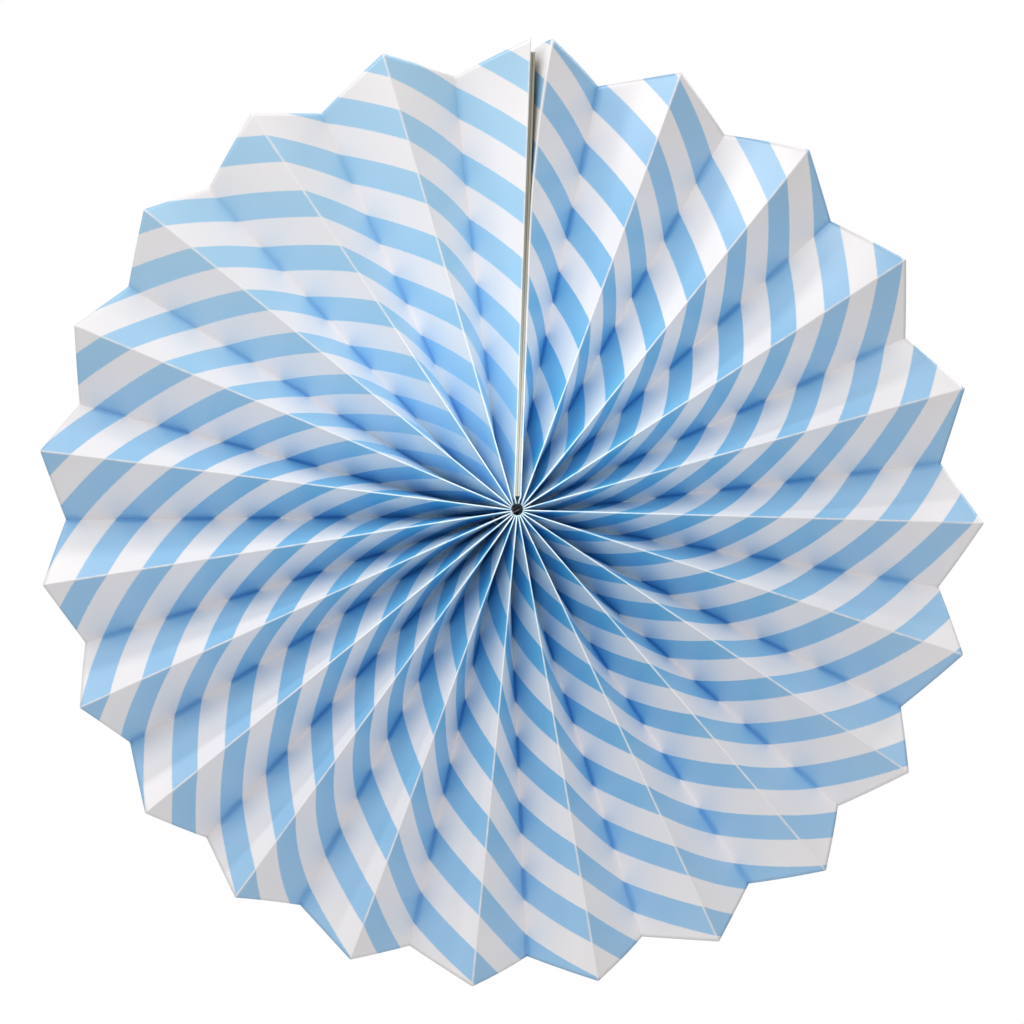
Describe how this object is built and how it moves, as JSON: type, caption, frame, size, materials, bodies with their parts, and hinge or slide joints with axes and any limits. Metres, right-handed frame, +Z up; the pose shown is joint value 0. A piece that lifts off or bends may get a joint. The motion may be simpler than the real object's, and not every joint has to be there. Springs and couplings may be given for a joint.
{
  "type": "paper fan rosette",
  "caption": "Round pleated paper wall decoration with diagonal stripes, a stiffened glued seam and a hanging hole.",
  "frame": {"origin": "middle of the hub, half way between the front and back folds there", "axes": "+Z up from the hub along the seam, -Y out of the printed front, +X to the right seen from the front"},
  "size_m": [0.3396, 0.0352, 0.3398],
  "materials": {
    "printed_paper": "satin",
    "greyboard": "matte",
    "adhesive_film": "matte",
    "cotton_thread": "matte"
  },
  "bodies": {
    "root": {"pleated_paper": "printed_paper", "seam_card_left": "greyboard", "seam_card_right": "greyboard", "seam_tape": "adhesive_film", "binding_thread": "cotton_thread"}
  },
  "joints": []
}
